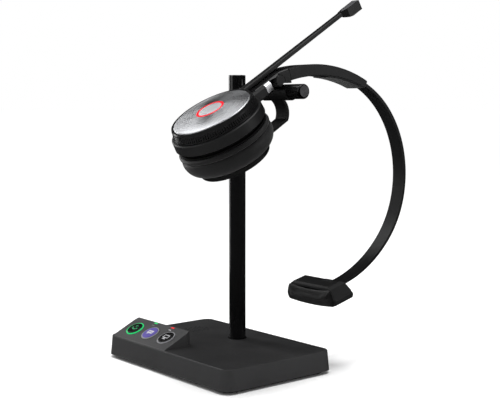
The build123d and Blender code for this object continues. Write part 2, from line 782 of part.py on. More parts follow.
def metal_slider():
    """Bare metal section between the block and the arm's barrel."""
    start = BLOCK_END + GAP
    low, high = ARM_HIGH
    body = block((-ARM_HALF, start, low), (ARM_HALF, start + METAL_LENGTH, high))
    return CUP * chamfer(body.edges().filter_by(Axis.Y), ARM_BEVEL)


def rail_link_points():
    """Outline, in (Y, Z), of the link from the metal section to the curved rail."""
    start = BLOCK_END + GAP + METAL_LENGTH
    half = RAIL_THICK / 2
    return [
        on_cup(start, ARM_AXIS - LINK_HALF),
        on_cup(start, ARM_AXIS + LINK_HALF),
        on_arc(BAND_CENTRE, RAIL_R + half, RAIL_ROOT),
        on_arc(BAND_CENTRE, RAIL_R - half, RAIL_ROOT),
    ]


def slider_rail():
    """Curved steel rail that the band slides on, concentric with the band."""
    half = RAIL_THICK / 2
    face = sector(BAND_CENTRE, RAIL_R - half, RAIL_R + half, RAIL_ROOT, RAIL_TIP)
    return side(face, RAIL_HALF) + side(outline(rail_link_points()), RAIL_HALF)


def arm_barrel():
    """Round cross piece where the arm meets the band, relieved above the peg."""
    barrel = rod(BARREL_R, HEADSET_X - BAND_HALF, HEADSET_X + BAND_HALF, *BARREL_AT)
    barrel = chamfer(barrel.edges(), 0.4)
    barrel -= rod(PEG_R + PEG_RELIEF, HEADSET_X - 20, HEADSET_X + 20, POLE_Y, PEG_Z)
    return barrel - slider_rail() - arm_cover()


def arm_housing():
    """Body between the barrel and the band, round the rail and under the glossy strip."""
    from_centre = (BARREL_AT[0] - BAND_CENTRE[0], BARREL_AT[1] - BAND_CENTRE[1])
    start = degrees(atan2(*from_centre))
    end = BAND_ROOT - COVER_SEAM
    inner = hypot(*from_centre) - BARREL_R
    core = sector(BAND_CENTRE, inner, BAND_R - COVER_INSET, start, end)
    lid = sector(BAND_CENTRE, RAIL_R + RAIL_THICK / 2, BAND_R, start - 1, end + 1)
    body = side(core, BAND_HALF) - side(lid, BAND_HALF - COVER_INSET + SKIN_GAP)
    for radius, at in ((BARREL_R, BARREL_AT), (PEG_R + PEG_RELIEF, (POLE_Y, PEG_Z))):
        body -= rod(radius, HEADSET_X - 20, HEADSET_X + 20, *at)
    return body - slider_rail()


def block_cover():
    """Glossy strip over the swivel block."""
    floor = ARM_HIGH[1] + SKIN_GAP
    half = BAND_HALF - COVER_INSET
    strip = block(
        (-half, HOUSING_TOP_R + COVER_START, floor),
        (half, BLOCK_END, ARM_HIGH[1] + COVER_THICK),
    )
    return CUP * strip


def arm_cover():
    """Glossy strip that carries on over the arm to the start of the band."""
    start = BLOCK_END + GAP
    top = ARM_HIGH[1] + COVER_THICK
    floor = ARM_HIGH[1] + SKIN_GAP
    end = BAND_ROOT - COVER_SEAM
    far = curve(BAND_CENTRE, BAND_R, RAIL_ROOT + COVER_BEND, end)
    near = curve(BAND_CENTRE, RAIL_R + RAIL_THICK / 2 + SKIN_GAP, RAIL_ROOT, end)
    high = on_cup(start, top)
    low = on_cup(start, floor)
    middle = on_cup(start + METAL_LENGTH, floor)
    lines = [far, Line(far @ 1, near @ 1), near, Line(near @ 0, middle)]
    lines += [Line(middle, low), Line(low, high), Line(high, far @ 0)]
    return side(make_face(lines), BAND_HALF - COVER_INSET)


# ================================================================ headband
def band_inside():
    return (BAND_CENTRE[0] + BAND_IN_SHIFT[0], BAND_CENTRE[1] + BAND_IN_SHIFT[1])


def band_section(drop):
    """Tapering face between the band's outer circle and its inner one, lowered by drop."""
    ring = sector(BAND_CENTRE, BAND_R - 14, BAND_R, BAND_ROOT, BAND_TIP)
    return ring - Pos(*band_inside()) * Circle(BAND_IN_R - drop)


def strap_arcs():
    """Centre, radius and angles of each bend of the strap, from its tucked end to its tail."""
    radius = BAND_R - STRAP_DROP - STRAP_THICK / 2
    centre = BAND_CENTRE
    angle = BAND_TIP - STRAP_TUCK
    arcs = []
    for bend_radius, sweep in ((radius, STRAP_TUCK),) + STRAP_BENDS:
        centre = on_arc(centre, radius - bend_radius, angle)
        radius = bend_radius
        arcs.append((centre, radius, angle, angle + sweep))
        angle += sweep
    return arcs


def strap_section(grow):
    """Face of the strap: it leaves the band and curls round in tangent bends."""
    half = STRAP_THICK / 2 + grow
    arcs = strap_arcs()
    outer = [curve(centre, radius + half, a, b) for centre, radius, a, b in arcs]
    inner = [curve(centre, radius - half, a, b) for centre, radius, a, b in arcs]
    ends = [Line(outer[0] @ 0, inner[0] @ 0), Line(outer[-1] @ 1, inner[-1] @ 1)]
    return make_face(outer + inner + ends)


def hinge_point():
    """Axis of the temple pad's hinge, a tail's length past the last bend."""
    centre, radius, _, angle = strap_arcs()[-1]
    y, z = on_arc(centre, radius, angle)
    return (y + STRAP_TAIL * cos(radians(angle)), z - STRAP_TAIL * sin(radians(angle)))


def strap_tail():
    """Narrower end of the strap that carries the hinge eye."""
    centre, radius, _, angle = strap_arcs()[-1]
    half = STRAP_THICK / 2
    y, z = hinge_point()
    off_y, off_z = on_arc((0, 0), half, angle)
    far = on_arc(centre, radius + half, angle - 1)
    near = on_arc(centre, radius - half, angle - 1)
    tail = outline([near, far, (y + off_y, z + off_z), (y - off_y, z - off_z)])
    body = side(tail, HINGE_EYE_HALF)
    return body + rod(HINGE_EYE_R, HEADSET_X - HINGE_EYE_HALF, HEADSET_X + HINGE_EYE_HALF, y, z)


def band_sleeve():
    """Thick outer sleeve with a channel for the rail and a pocket for the strap."""
    body = side(band_section(0), BAND_HALF)
    body = chamfer(body.edges().filter_by(lambda e: e.length > 30), 0.8)
    half = RAIL_THICK / 2 + RUN
    channel = sector(BAND_CENTRE, RAIL_R - half, RAIL_R + half, BAND_ROOT - 1, RAIL_TIP + 0.5)
    body -= side(channel, RAIL_HALF + RUN)
    high = BAND_R - STRAP_DROP
    pocket = sector(BAND_CENTRE, high - STRAP_THICK, high, BAND_TIP - STRAP_TUCK, BAND_TIP + 1)
    body -= side(pocket, STRAP_HALF)
    for k in range(10):
        angle = BAND_ROOT + 0.8 + 0.8 * k
        notch = sector(BAND_CENTRE, BAND_R - 0.35, BAND_R + 1, angle, angle + 0.35)
        body -= side(notch, BAND_HALF * 0.55)
    return body


def band_pad():
    """Soft lining under the sleeve and the first of the strap."""
    centre = band_inside()
    face = sector(centre, BAND_IN_R - PAD_THICK, BAND_IN_R, *PAD_ANGLES)
    body = side(face, PAD_HALF)
    return body - side(strap_section(0.02), STRAP_HALF + 0.02)


def strap():
    y, z = hinge_point()
    body = side(strap_section(0), STRAP_HALF) + strap_tail()
    return body - rod(HINGE_PIN_R + RUN, HEADSET_X - 9, HEADSET_X + 9, y, z)


# ================================================================ temple pad
def temple_prism(section, half):
    """Outline in the pad's own (depth, height), thickened along X."""
    plane = Plane(origin=(0, 0, 0), x_dir=(0, 1, 0), z_dir=(1, 0, 0))
    return plane.location * extrude(section, half, both=True)


def mirrored(points):
    """Closed outline from its right half."""
    return outline(points + [(-x, y) for x, y in reversed(points) if x])


def temple_end_view():
    """Outline seen along the depth: narrow top, wide waist, tucked foot."""
    wide = TEMPLE_HALF
    high = TEMPLE_HIGH
    return mirrored([
        (0, high + 1), (wide - 6.2, high + 1), (wide - 5.6, high), (wide - 3.6, high - 1.3),
        (wide - 0.7, 4.4), (wide, 3.8), (wide, 2.4), (wide - 1.3, 0.2), (wide - 2.8, -0.3), (0, -0.3),
    ])


def hinge_in_pad():
    """The hinge axis in the pad's own (depth, height)."""
    y, z = hinge_point()
    tilt = radians(TEMPLE_TILT)
    dy = y - TEMPLE_AT[0]
    dz = z - TEMPLE_AT[1]
    return (dy * cos(tilt) + dz * sin(tilt), dz * cos(tilt) - dy * sin(tilt))


def temple_shell():
    """Hard back of the temple pad, with two lugs for the hinge pin."""
    high = TEMPLE_HIGH
    front = TEMPLE_FRONT
    deep = TEMPLE_DEPTH
    section = outline([
        (front, 0.2), (deep, 0.0), (deep - 0.4, 6.0), (deep - 2.2, high - 1.2), (deep - 4.0, high),
        (front + 1.5, high + 0.3), (front + 0.7, high), (front + 0.2, high - 0.6), (front, high - 1.3),
    ])
    groove = outline([
        (0, 7.6), (front + TEMPLE_GROOVE, 7.6), (front + TEMPLE_GROOVE, high - 2.1), (0, high - 1.5),
    ])
    front_plane = Plane(origin=(0, 0, 0), x_dir=(1, 0, 0), z_dir=(0, -1, 0))
    body = temple_prism(section, TEMPLE_HALF + 2)
    body &= front_plane.location * extrude(temple_end_view(), -deep - 5)
    body -= temple_prism(groove, TEMPLE_HALF - 4.8)
    bump_start, bump_end = TEMPLE_BUMP_X
    bump = block((bump_start, deep - 6.5, high - 1), (bump_end, deep - 4.2, high + 0.5))
    body += chamfer(bump.edges().group_by(Axis.Z)[-1], 0.3)
    pin_v, pin_w = hinge_in_pad()
    for sign in (-1, 1):
        near = sign * (HINGE_EYE_HALF + GAP)
        far = sign * (HINGE_EYE_HALF + GAP + LUG_THICK)
        lug = rod(HINGE_EYE_R, min(near, far), max(near, far), pin_v, pin_w)
        low_corner = (min(near, far), deep - 2.5, pin_w - HINGE_EYE_R)
        body += lug + block(low_corner, (max(near, far), pin_v, pin_w + HINGE_EYE_R))
    return TEMPLE * (body - rod(HINGE_PIN_R, -9, 9, pin_v, pin_w))


def temple_pin():
    pin_v, pin_w = hinge_in_pad()
    reach = HINGE_EYE_HALF + GAP + LUG_THICK
    return TEMPLE * rod(HINGE_PIN_R, -reach, reach, pin_v, pin_w)


def temple_cushion():
    """Soft front of the temple pad, bowed down along both long edges."""
    wide = TEMPLE_HALF
    face = mirrored([
        (0, 9.3), (wide * 0.45, 9.7), (wide - 3.6, 10.8), (wide - 2.2, 10.2), (wide - 0.3, 5.4),
        (wide - 0.2, 3.0), (wide - 1.2, 0.4), (wide - 2.4, -0.2), (wide * 0.45, -1.0), (0, -1.3),
    ])
    front_plane = Plane(origin=(0, 0, 0), x_dir=(1, 0, 0), z_dir=(0, -1, 0))
    body = front_plane.location * extrude(face, -TEMPLE_FRONT)
    lean = outline([(0, -3), (TEMPLE_FRONT, -3), (TEMPLE_FRONT, 12), (1.5, 12), (0, 2)])
    return TEMPLE * (body & temple_prism(lean, wide + 2))


# ================================================================ assembly
def nodes():
    """Every piece by name."""
    made = {
        "base_top_shell": base_top_shell(),
        "control_panel": control_panel(),
        "base_bottom_plate": base_bottom_plate(),
        "base_mat": base_mat(),
        "base_screws": base_screws(),
        "ballast_plate": ballast_plate(),
        "main_board": main_board(),
        "usb_sockets": usb_sockets(),
        "desk_speaker": desk_speaker(),
        "control_board": control_board(),
        "pole": pole(),
        "pole_collar": pole_collar(),
        "pole_screw": pole_screw(),
        "peg": peg(),
        "peg_end_cap": peg_end_cap(),
        "peg_saddle": saddle(),
        "charging_bracket": charging_bracket(),
        "cradle_disc": cradle_disc(),
        "cradle_magnet": cradle_magnet(),
        "contact_pins": contact_pins(),
        "cup_cap": cup_cap(),
        "cup_light_ring": light_ring(),
        "cup_key": cup_key(),
        "cup_housing": cup_housing(),
        "cup_board": cup_board(),
        "battery": battery(),
        "baffle_plate": baffle_plate(),
        "speaker_driver": speaker_driver(),
        "driver_screen": driver_screen(),
        "ear_cushion": ear_cushion(),
        "cup_screws": cup_screws(),
        "yoke_block": yoke_block(),
        "boom_ring": boom_ring(),
        "boom_arm": boom_arm(),
        "mic_head": mic_head(),
        "mic_grille": mic_grille(),
        "mic_capsule": mic_capsule(),
        "swivel_pin": swivel_pin(),
        "metal_slider": metal_slider(),
        "slider_rail": slider_rail(),
        "arm_barrel": arm_barrel(),
        "arm_housing": arm_housing(),
        "arm_cover": arm_cover(),
        "block_cover": block_cover(),
        "band_sleeve": band_sleeve(),
        "band_pad": band_pad(),
        "strap": strap(),
        "temple_shell": temple_shell(),
        "temple_pin": temple_pin(),
        "temple_cushion": temple_cushion(),
    }
    for name, x in zip(("left", "middle", "right"), BUTTON_X):
        made[f"button_cap_{name}"] = button_cap(x)
        made[f"button_ring_{name}"] = button_ring(x)
    for name, x in zip(("call_led", "alert_led"), LED_X):
        made[name] = panel(x, LED_UP_SLOPE) * led_bar(2.6)
    return made


def main():
    os.makedirs("parts", exist_ok=True)
    for name, solid in nodes().items():
        export_step(solid, f"parts/{name}.step")


main()
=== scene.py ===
"""Looks of the office headset on its charging stand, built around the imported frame."""

import json
import math
import random

import bmesh
import bpy
from mathutils import Matrix, Vector


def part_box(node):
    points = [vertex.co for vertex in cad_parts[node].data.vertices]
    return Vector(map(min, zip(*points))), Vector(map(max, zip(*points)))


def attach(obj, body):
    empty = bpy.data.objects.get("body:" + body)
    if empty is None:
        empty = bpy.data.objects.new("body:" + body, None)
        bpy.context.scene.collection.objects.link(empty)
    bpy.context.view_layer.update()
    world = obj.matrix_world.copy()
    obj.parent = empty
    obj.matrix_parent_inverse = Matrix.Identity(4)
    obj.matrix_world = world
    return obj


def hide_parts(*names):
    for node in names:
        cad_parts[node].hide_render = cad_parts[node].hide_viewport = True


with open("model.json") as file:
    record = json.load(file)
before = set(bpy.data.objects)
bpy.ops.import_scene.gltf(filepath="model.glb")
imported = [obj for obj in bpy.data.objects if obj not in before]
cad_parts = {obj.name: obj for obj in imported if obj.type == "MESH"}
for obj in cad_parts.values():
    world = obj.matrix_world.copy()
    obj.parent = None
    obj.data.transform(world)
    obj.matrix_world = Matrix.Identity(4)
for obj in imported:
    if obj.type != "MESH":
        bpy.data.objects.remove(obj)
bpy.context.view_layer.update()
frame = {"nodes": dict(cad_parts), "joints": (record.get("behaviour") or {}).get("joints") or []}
NODES = frame["nodes"]
MM = 0.001


# ---------------------------------------------------------------- frames taken from the joints
def joint(name):
    return next(j for j in frame["joints"] if j["name"] == name)


CUP_MIDDLE = Vector(joint("boom_swing")["pos_m"])
CUP_OUT = Vector(joint("boom_swing")["axis"]).normalized()
CUP_ALONG = Vector(joint("cup_swivel")["axis"]).normalized()
RIGHT = Vector((1, 0, 0))
BAND_MIDDLE = Vector(joint("band_extend")["pos_m"])
KEY_OUT = -Vector(joint("left_button_press")["axis"]).normalized()


def axes_matrix(origin, x, y, z):
    """Matrix of a frame from its origin and its three axes."""
    turn = Matrix((x, y, z)).transposed().to_4x4()
    return Matrix.Translation(origin) @ turn


CUP = axes_matrix(CUP_MIDDLE, RIGHT, CUP_ALONG, CUP_OUT)


def middle_of(node):
    """Middle of a CAD node's box, in metres."""
    low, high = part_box(node)
    return (low + high) / 2


# ---------------------------------------------------------------- node materials
MIX_FIRST, MIX_SECOND, MIX_RESULT = 6, 7, 2  # the Mix node's colour sockets
SHARP_EDGE, FLAT_FACE = 0.86, 0.995  # rounded normal against true normal


class Shader:
    """Short way to wire one Principled material."""

    def __init__(self, name, colour, rough, metal=0.0, specular=0.5):
        self.material = bpy.data.materials.new(name)
        self.material.use_nodes = True
        self.tree = self.material.node_tree
        self.bsdf = self.tree.nodes["Principled BSDF"]
        self.set("Base Color", (*colour, 1.0))
        self.set("Roughness", rough)
        self.set("Metallic", metal)
        self.set("Specular IOR Level", specular)
        self.colour = colour
        self.place = None
        self.normal = None

    def set(self, socket, value):
        self.bsdf.inputs[socket].default_value = value

    def node(self, kind, **settings):
        made = self.tree.nodes.new(kind)
        for key, value in settings.items():
            setattr(made, key, value)
        return made

    def link(self, out, into):
        self.tree.links.new(out, into)

    def position(self):
        """The surface point in metres, the same for every piece of a body at rest."""
        if self.place is None:
            self.place = self.node("ShaderNodeTexCoord").outputs["Object"]
        return self.place

    def noise(self, size, detail=2.0, rough=0.5):
        """Noise whose features are about size metres wide."""
        made = self.node("ShaderNodeTexNoise")
        made.inputs["Scale"].default_value = 1.0 / size
        made.inputs["Detail"].default_value = detail
        made.inputs["Roughness"].default_value = rough
        self.link(self.position(), made.inputs["Vector"])
        return made.outputs["Fac"]

    def cells(self, size, feature="F1", randomness=1.0):
        """Distance within cells that are about size metres wide."""
        made = self.node("ShaderNodeTexVoronoi", feature=feature)
        made.inputs["Scale"].default_value = 1.0 / size
        made.inputs["Randomness"].default_value = randomness
        self.link(self.position(), made.inputs["Vector"])
        return made.outputs["Distance"]

    def range(self, value, low, high, from_low=0.3, from_high=0.7):
        """Value stretched from one range to another; the defaults fit a noise."""
        made = self.node("ShaderNodeMapRange")
        made.inputs["From Min"].default_value = from_low
        made.inputs["From Max"].default_value = from_high
        made.inputs["To Min"].default_value = low
        made.inputs["To Max"].default_value = high
        self.link(value, made.inputs["Value"])
        return made.outputs["Result"]

    def tint(self, value, low, high):
        """Base colour between two colours, led by a 0 to 1 value."""
        ramp = self.node("ShaderNodeValToRGB")
        ramp.color_ramp.elements[0].color = (*low, 1.0)
        ramp.color_ramp.elements[1].color = (*high, 1.0)
        self.link(value, ramp.inputs["Fac"])
        self.link(ramp.outputs["Color"], self.bsdf.inputs["Base Color"])

    def bump(self, height, depth, strength=1.0):
        """Adds relief of depth metres, over any relief set before."""
        made = self.node("ShaderNodeBump")
        made.inputs["Strength"].default_value = strength
        made.inputs["Distance"].default_value = depth
        self.link(height, made.inputs["Height"])
        if self.normal is not None:
            self.link(self.normal, made.inputs["Normal"])
        self.normal = made.outputs["Normal"]
        self.link(self.normal, self.bsdf.inputs["Normal"])

    def roughness(self, value, low, high):
        self.link(self.range(value, low, high), self.bsdf.inputs["Roughness"])

    def edge_highlight(self, amount, colour, spread=0.0006):
        """Painted highlight: edges lighter in colour, found from the mesh's own corners."""
        bevel = self.node("ShaderNodeBevel", samples=4)
        bevel.inputs["Radius"].default_value = spread
        plain = self.node("ShaderNodeNewGeometry")
        dot = self.node("ShaderNodeVectorMath", operation="DOT_PRODUCT")
        self.link(bevel.outputs["Normal"], dot.inputs[0])
        self.link(plain.outputs["Normal"], dot.inputs[1])
        # how much of the painted edge highlight each point gets
        lit_edge = self.range(dot.outputs["Value"], amount, 0.0, SHARP_EDGE, FLAT_FACE)
        mix = self.node("ShaderNodeMix", data_type="RGBA")
        self.link(lit_edge, mix.inputs["Factor"])
        base = self.bsdf.inputs["Base Color"]
        if base.is_linked:
            self.link(base.links[0].from_socket, mix.inputs[MIX_FIRST])
        else:
            mix.inputs[MIX_FIRST].default_value = base.default_value
        mix.inputs[MIX_SECOND].default_value = (*colour, 1.0)
        self.link(mix.outputs[MIX_RESULT], base)


def shade(colour, factor):
    """Colour made darker or lighter, no channel over 1."""
    return tuple(min(1.0, c * factor) for c in colour)


def moulded(name, grey, rough, relief=0.00002, edge_light=0.5, soft_edge=0.0004, specular=0.32):
    """Moulded plastic: fine spark-eroded grain, uneven gloss and slightly paler edges, a painted
    highlight.
    """
    s = Shader(name, (grey, grey, grey * 1.03), rough, specular=specular)
    broad = s.noise(0.018, 3.0)
    fine = s.noise(0.00035, 2.0, 0.6)
    s.tint(broad, shade(s.colour, 0.86), shade(s.colour, 1.14))
    s.roughness(broad, rough - 0.05, rough + 0.06)
    # painted highlight: edges up to 3.2 times lighter than the plastic
    s.edge_highlight(edge_light, shade(s.colour, 3.2), soft_edge)
    s.bump(fine, relief)
    return s.material


def glossy(name, grey, rough, specular=0.5, coat=0.0):
    """Polished black: faint haze in the gloss and a very shallow orange-peel."""
    s = Shader(name, (grey, grey, grey * 1.04), rough, specular=specular)
    broad = s.noise(0.022, 3.0)
    s.tint(broad, shade(s.colour, 0.85), shade(s.colour, 1.15))
    s.roughness(broad, rough * 0.8, rough * 1.35)
    s.set("Coat Weight", coat)
    s.set("Coat Roughness", 0.06)
    s.bump(s.noise(0.0022, 2.0), 0.000004)
    return s.material


def turned_metal(name, colour, centre, axis, rough, anisotropy, pitch=0.00022):
    """Metal brushed in circles round an axis, with the fan-shaped glints that gives."""
    s = Shader(name, colour, rough, metal=1.0)
    offset = s.node("ShaderNodeVectorMath", operation="SUBTRACT")
    s.link(s.position(), offset.inputs[0])
    offset.inputs[1].default_value = centre
    tangent = s.node("ShaderNodeVectorMath", operation="CROSS_PRODUCT")
    tangent.inputs[0].default_value = axis
    s.link(offset.outputs["Vector"], tangent.inputs[1])
    unit = s.node("ShaderNodeVectorMath", operation="NORMALIZE")
    s.link(tangent.outputs["Vector"], unit.inputs[0])
    s.link(unit.outputs["Vector"], s.bsdf.inputs["Tangent"])
    s.set("Anisotropic", anisotropy)
    length = s.node("ShaderNodeVectorMath", operation="LENGTH")
    s.link(offset.outputs["Vector"], length.inputs[0])
    rings = s.node("ShaderNodeTexNoise", noise_dimensions="1D")
    rings.inputs["Scale"].default_value = 1.0 / pitch
    rings.inputs["Detail"].default_value = 3.0
    s.link(length.outputs["Value"], rings.inputs["W"])
    s.tint(rings.outputs["Fac"], shade(colour, 0.90), shade(colour, 1.08))
    s.roughness(rings.outputs["Fac"], rough * 0.88, rough * 1.16)
    s.bump(rings.outputs["Fac"], 0.0000012)
    return s.material


def brushed_metal(name, colour, along, rough, stretch=0.03, lines_per_metre=9000.0):
    """Metal brushed in straight lines along a direction."""
    s = Shader(name, colour, rough, metal=1.0)
    turn = Vector(along).to_track_quat("X", "Z").to_matrix().inverted().to_euler()
    mapping = s.node("ShaderNodeMapping")
    mapping.inputs["Rotation"].default_value = turn
    mapping.inputs["Scale"].default_value = (stretch, 1.0, 1.0)
    s.link(s.position(), mapping.inputs["Vector"])
    lines = s.node("ShaderNodeTexNoise")
    lines.inputs["Scale"].default_value = lines_per_metre
    lines.inputs["Detail"].default_value = 2.0
    s.link(mapping.outputs["Vector"], lines.inputs["Vector"])
    s.tint(lines.outputs["Fac"], shade(colour, 0.84), shade(colour, 1.1))
    s.roughness(lines.outputs["Fac"], rough * 0.8, rough * 1.3)
    s.bump(lines.outputs["Fac"], 0.000003)
    return s.material


def leatherette(name, grey, rough=0.46, grain=0.0009, relief=0.00005, cell_edge=0.22):
    """Soft protein leather: pebbled cells, tiny pores and a slight sheen."""
    s = Shader(name, (grey, grey, grey * 1.03), rough)
    broad = s.noise(0.012, 3.0)
    cells = s.cells(grain, "DISTANCE_TO_EDGE")
    creases = s.range(cells, 0.0, 1.0, 0.0, cell_edge)
    s.tint(broad, shade(s.colour, 0.82), shade(s.colour, 1.2))
    s.roughness(broad, rough - 0.06, rough + 0.08)
    s.set("Sheen Weight", 0.12)
    s.set("Sheen Roughness", 0.45)
    s.bump(creases, relief, 0.55)
    s.bump(s.noise(grain * 0.35, 2.0), relief * 0.25, 0.6)
    return s.material


def rubber(name, grey=0.018):
    """Matt rubber with a shallow pebble."""
    s = Shader(name, (grey, grey, grey), 0.78, specular=0.35)
    s.tint(s.noise(0.01, 4.0), shade(s.colour, 0.75), shade(s.colour, 1.35))
    s.bump(s.cells(0.0006), 0.00004, 0.5)
    return s.material


def glowing(name, colour, strength, body=0.6):
    """Translucent plastic lit from inside, a little uneven in colour and gloss."""
    s = Shader(name, shade(colour, body), 0.25, specular=0.15)
    s.set("Emission Color", (*colour, 1.0))
    s.set("Emission Strength", strength)
    glow = s.noise(0.003, 2.0)
    s.tint(glow, shade(colour, body * 0.85), shade(colour, body * 1.1))
    s.roughness(glow, 0.4, 0.55)
    return s.material


def painted(name, colour, rough, relief=0.000006):
    """Coloured or printed surface, almost even."""
    s = Shader(name, colour, rough)
    broad = s.noise(0.004, 3.0)
    s.tint(broad, shade(colour, 0.9), shade(colour, 1.08))
    s.roughness(broad, rough - 0.05, rough + 0.07)
    s.bump(s.noise(0.0006, 2.0), relief)
    return s.material


def cast(name, colour, rough, metal, size=0.0012, relief=0.00003):
    """Plain inner pieces: uneven colour and a little texture."""
    s = Shader(name, colour, rough, metal=metal)
    s.tint(s.noise(size * 4, 3.0), shade(colour, 0.78), shade(colour, 1.2))
    s.roughness(s.noise(size * 2, 2.0), rough - 0.08, min(1.0, rough + 0.1))
    s.bump(s.noise(size, 3.0), relief, 0.6)
    return s.material


def woven(name, grey, pitch=0.00045):
    """Acoustic cloth: threads crossing in the cup's plane."""
    s = Shader(name, (grey, grey, grey), 0.8, specular=0.3)
    waves = []
    for axis in (RIGHT, CUP_ALONG):
        dot = s.node("ShaderNodeVectorMath", operation="DOT_PRODUCT")
        s.link(s.position(), dot.inputs[0])
        dot.inputs[1].default_value = axis
        turn = s.node("ShaderNodeMath", operation="MULTIPLY")
        turn.inputs[1].default_value = 2 * math.pi / pitch
        s.link(dot.outputs["Value"], turn.inputs[0])
        wave = s.node("ShaderNodeMath", operation="SINE")
        s.link(turn.outputs["Value"], wave.inputs[0])
        waves.append(wave.outputs["Value"])
    cross = s.node("ShaderNodeMath", operation="MULTIPLY")
    s.link(waves[0], cross.inputs[0])
    s.link(waves[1], cross.inputs[1])
    level = s.range(cross.outputs["Value"], 0.0, 1.0, -1.0, 1.0)
    s.tint(level, shade(s.colour, 0.5), shade(s.colour, 1.7))
    s.bump(level, 0.00006)
    return s.material


def circuit_board(name):
    """Solder mask with copper tracks showing faintly through it."""
    s = Shader(name, (0.02, 0.12, 0.06), 0.35)
    tracks = s.range(s.cells(0.0022, "DISTANCE_TO_EDGE", 0.6), 0.0, 1.0, 0.03, 0.07)
    s.tint(tracks, (0.03, 0.2, 0.1), (0.015, 0.09, 0.05))
    s.bump(tracks, 0.00003, 0.5)
    return s.material


# ---------------------------------------------------------------- mesh helpers
def new_piece(name, bm, material, smooth=True):
    """Object made from a bmesh, with its one material."""
    bmesh.ops.recalc_face_normals(bm, faces=bm.faces)
    mesh = bpy.data.meshes.new(name)
    bm.to_mesh(mesh)
    bm.free()
    for face in mesh.polygons:
        face.use_smooth = smooth
    piece = bpy.data.objects.new(name, mesh)
    bpy.context.scene.collection.objects.link(piece)
    mesh.materials.append(material)
    return piece


def skin(bm, near, far):
    """Faces between two closed rows of as many vertices."""
    count = len(near)
    for i in range(count):
        j = (i + 1) % count
        bm.faces.new((near[i], near[j], far[j], far[i]))


def lathe(name, profile, matrix, material, segments):
    """Closed profile of (radius, height) in metres, turned about a frame's Z."""
    bm = bmesh.new()
    rings = []
    for k in range(segments):
        angle = 2 * math.pi * k / segments
        c, s = math.cos(angle), math.sin(angle)
        ring = [matrix @ Vector((r * c, r * s, z)) for r, z in profile]
        rings.append([bm.verts.new(point) for point in ring])
    count = len(profile)
    for k in range(segments):
        a, b = rings[k], rings[(k + 1) % segments]
        for i in range(count):
            j = (i + 1) % count
            bm.faces.new((a[i], b[i], b[j], a[j]))
    return new_piece(name, bm, material)


def smooth_line(points, steps):
    """Closed Catmull-Rom curve through points, as plain tuples."""
    count = len(points)
    line = []
    for i in range(count):
        p = [points[(i + k) % count] for k in (-1, 0, 1, 2)]
        for step in range(steps):
            t = step / steps
            line.append(tuple(
                0.5 * (2 * b + (c - a) * t + (2 * a - 5 * b + 4 * c - d) * t * t
                       + (3 * b - a - 3 * c + d) * t ** 3)
                for a, b, c, d in zip(*p)
            ))
    return line


def plate(name, outlines, matrix, thick, material):
    """Flat shapes in a frame's X and Y, raised by thick along its Z."""
    bm = bmesh.new()
    for points in outlines:
        low = [bm.verts.new(matrix @ Vector((x, y, 0))) for x, y in points]
        high = [bm.verts.new(matrix @ Vector((x, y, thick))) for x, y in points]
        bm.faces.new(low)
        bm.faces.new(high)
        skin(bm, low, high)
    return new_piece(name, bm, material, smooth=False)


def circle_points(x, y, radius, count, start=0.0, sweep=360.0):
    """Circle or arc of count steps; start and sweep are in degrees."""
    full = sweep >= 360
    steps = count if full else count + 1
    angles = [math.radians(start + sweep * k / count) for k in range(steps)]
    return [(x + radius * math.cos(a), y + radius * math.sin(a)) for a in angles]


def ribbon_points(points, half):
    """Outline of a stroke of constant width along open points."""
    left, right = [], []
    for i, (x, y) in enumerate(points):
        ax, ay = points[max(0, i - 1)]
        bx, by = points[min(len(points) - 1, i + 1)]
        length = math.hypot(bx - ax, by - ay)
        nx, ny = -(by - ay) / length * half, (bx - ax) / length * half
        left.append((x + nx, y + ny))
        right.append((x - nx, y - ny))
    return left + right[::-1]


def box_points(x0, y0, x1, y1):
    """Corners of an upright rectangle."""
    return [(x0, y0), (x1, y0), (x1, y1), (x0, y1)]


# ---------------------------------------------------------------- materials of the CAD nodes
def finish_node(name, material):
    """Gives a CAD node its only material."""
    node = NODES[name]
    node.data.materials.clear()
    node.data.materials.append(material)


KEY_PURPLE = (0.12, 0.085, 0.46)


